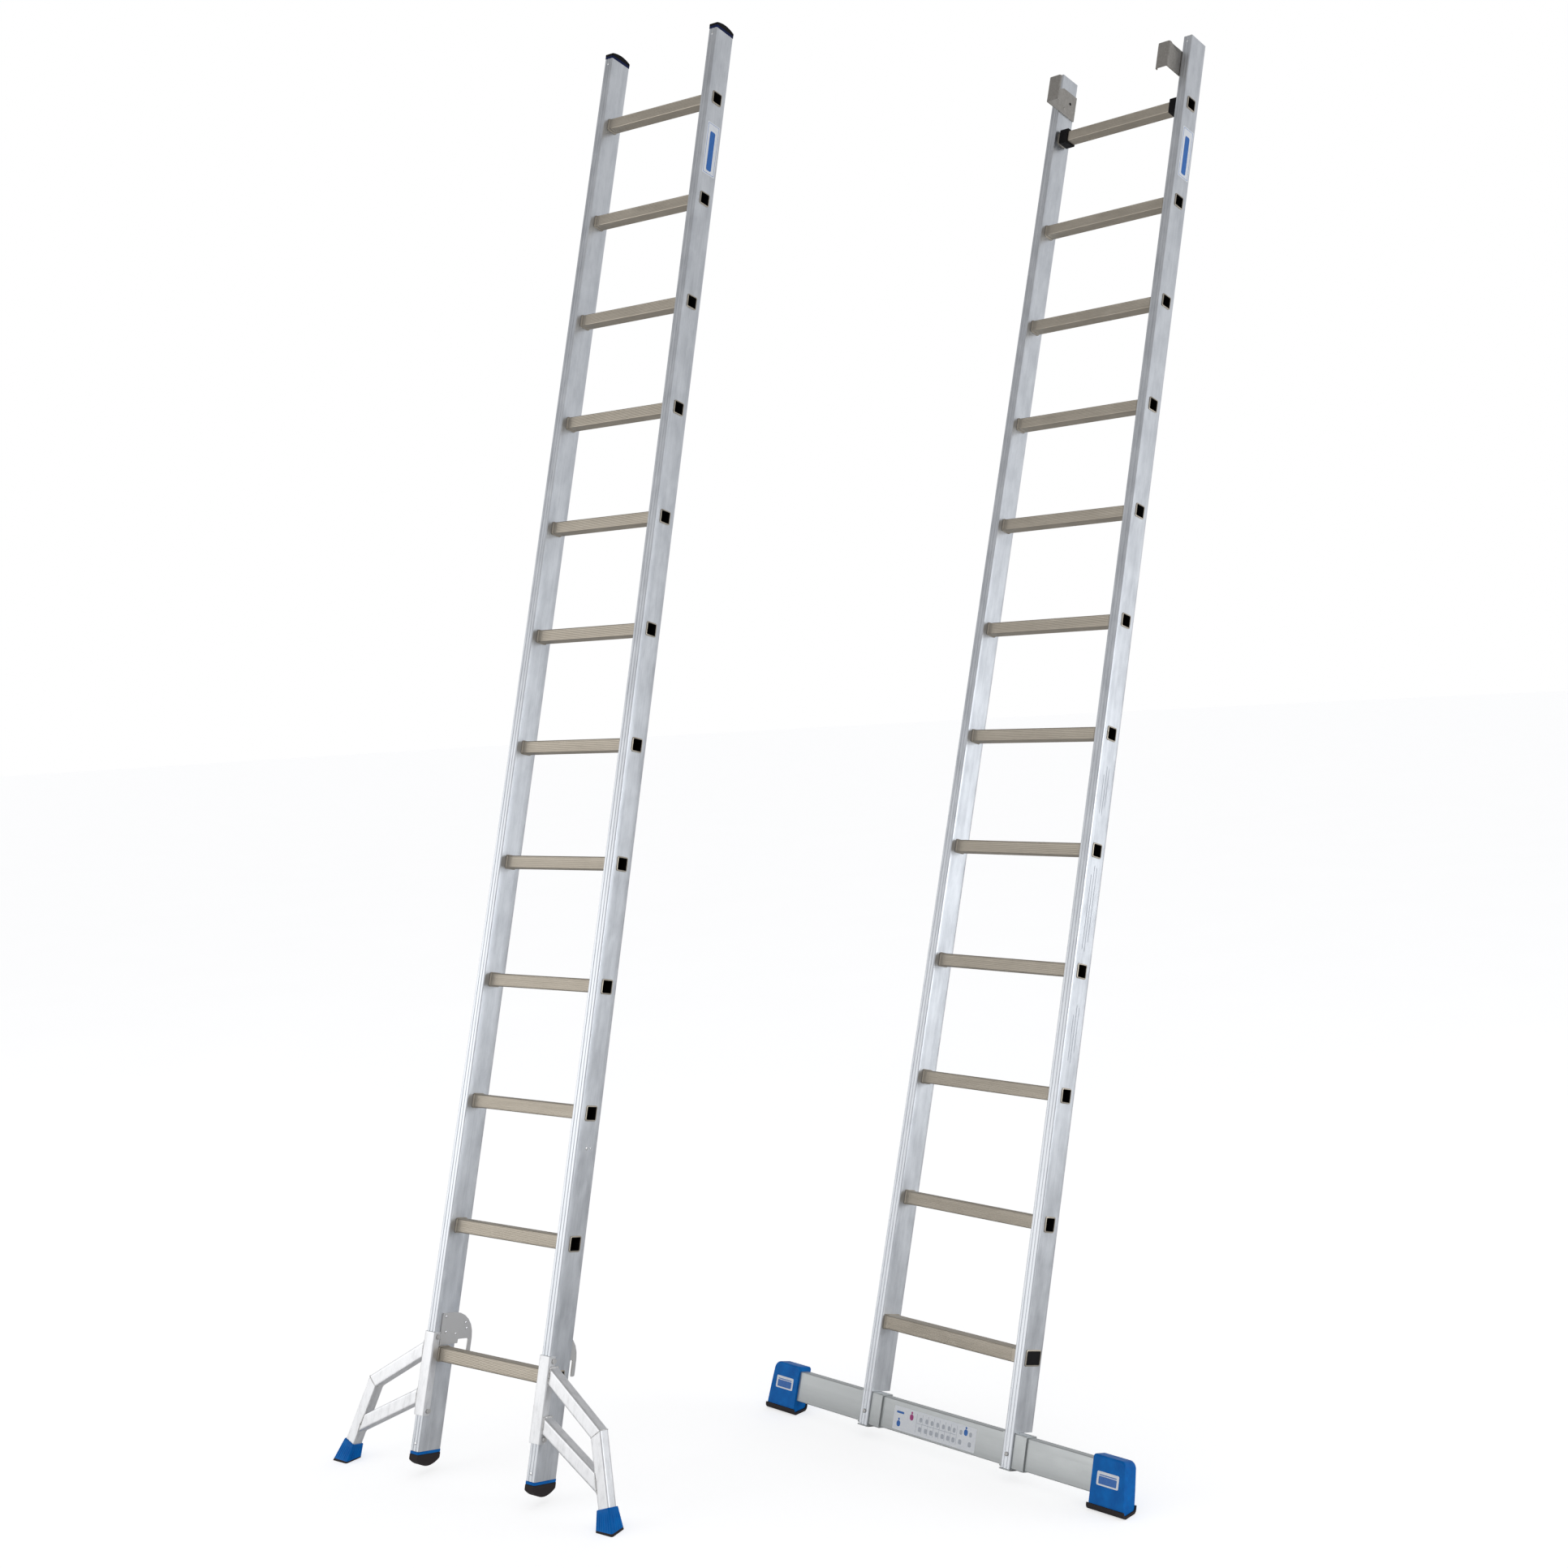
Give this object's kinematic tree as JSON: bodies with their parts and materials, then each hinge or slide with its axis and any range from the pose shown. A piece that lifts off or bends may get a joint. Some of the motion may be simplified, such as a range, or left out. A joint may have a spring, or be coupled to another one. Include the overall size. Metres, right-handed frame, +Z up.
{
  "type": "extension ladder",
  "caption": "Aluminium extension ladder taken apart: base section with crossbar and guide hooks beside a narrower fly section with rung hooks and outrigger feet.",
  "frame": {"origin": "on the floor, under the middle of the bounding box of both sections", "axes": "+X to the right across the base section as a climber faces it, +Y towards the wall, +Z up"},
  "size_m": [1.7014, 1.8622, 3.4433],
  "materials": {
    "stile_aluminium": "satin extruded, fine lengthwise die lines",
    "rung_aluminium": "mill finish, warm grey, ribbed tread",
    "bar_aluminium": "satin extruded",
    "outrigger_aluminium": "mill finish tube with welds",
    "hook_steel": "warm grey bent sheet",
    "zinc_steel": "zinc plated",
    "blue_plastic": "moulded, fine texture",
    "black_plastic": "moulded",
    "black_rubber": "moulded rubber"
  },
  "bodies": {
    "base_section": {"base_rung_01": "rung_aluminium", "base_rung_02": "rung_aluminium", "base_rung_03": "rung_aluminium", "base_rung_04": "rung_aluminium", "base_rung_05": "rung_aluminium", "base_rung_06": "rung_aluminium", "base_rung_07": "rung_aluminium", "base_rung_08": "rung_aluminium", "base_rung_09": "rung_aluminium", "base_rung_10": "rung_aluminium", "base_rung_11": "rung_aluminium", "base_rung_12": "rung_aluminium", "base_stile_left": "stile_aluminium", "base_stile_right": "stile_aluminium", "crossbar": "bar_aluminium", "crossbar_cap_left": "blue_plastic", "crossbar_cap_right": "blue_plastic", "crossbar_saddle_left": "bar_aluminium", "crossbar_saddle_right": "bar_aluminium", "crossbar_screw_left": "zinc_steel", "crossbar_screw_right": "zinc_steel", "crossbar_sole_left": "black_rubber", "crossbar_sole_right": "black_rubber", "glide_block_left": "black_plastic", "glide_block_right": "black_plastic", "guide_hook_left": "hook_steel", "guide_hook_right": "hook_steel"},
    "fly_section": {"fly_rung_01": "rung_aluminium", "fly_rung_02": "rung_aluminium", "fly_rung_03": "rung_aluminium", "fly_rung_04": "rung_aluminium", "fly_rung_05": "rung_aluminium", "fly_rung_06": "rung_aluminium", "fly_rung_07": "rung_aluminium", "fly_rung_08": "rung_aluminium", "fly_rung_09": "rung_aluminium", "fly_rung_10": "rung_aluminium", "fly_rung_11": "rung_aluminium", "fly_rung_12": "rung_aluminium", "fly_shoe_left": "blue_plastic", "fly_shoe_right": "blue_plastic", "fly_sole_left": "black_rubber", "fly_sole_right": "black_rubber", "fly_stile_left": "stile_aluminium", "fly_stile_right": "stile_aluminium", "outrigger_bolt_lower_left": "zinc_steel", "outrigger_bolt_lower_right": "zinc_steel", "outrigger_bolt_upper_left": "zinc_steel", "outrigger_bolt_upper_right": "zinc_steel", "outrigger_bracket_left": "outrigger_aluminium", "outrigger_bracket_right": "outrigger_aluminium", "outrigger_foot_left": "blue_plastic", "outrigger_foot_right": "blue_plastic", "outrigger_frame_left": "outrigger_aluminium", "outrigger_frame_right": "outrigger_aluminium", "rung_hook_left": "zinc_steel", "rung_hook_right": "zinc_steel", "top_cap_left": "blue_plastic", "top_cap_right": "blue_plastic"}
  },
  "joints": [
    {"name": "fly_slide", "type": "slide", "parent": "base_section", "child": "fly_section", "axis": [-0.0345, 0.2394, 0.9703], "range_m": [0, 2.24]}
  ]
}
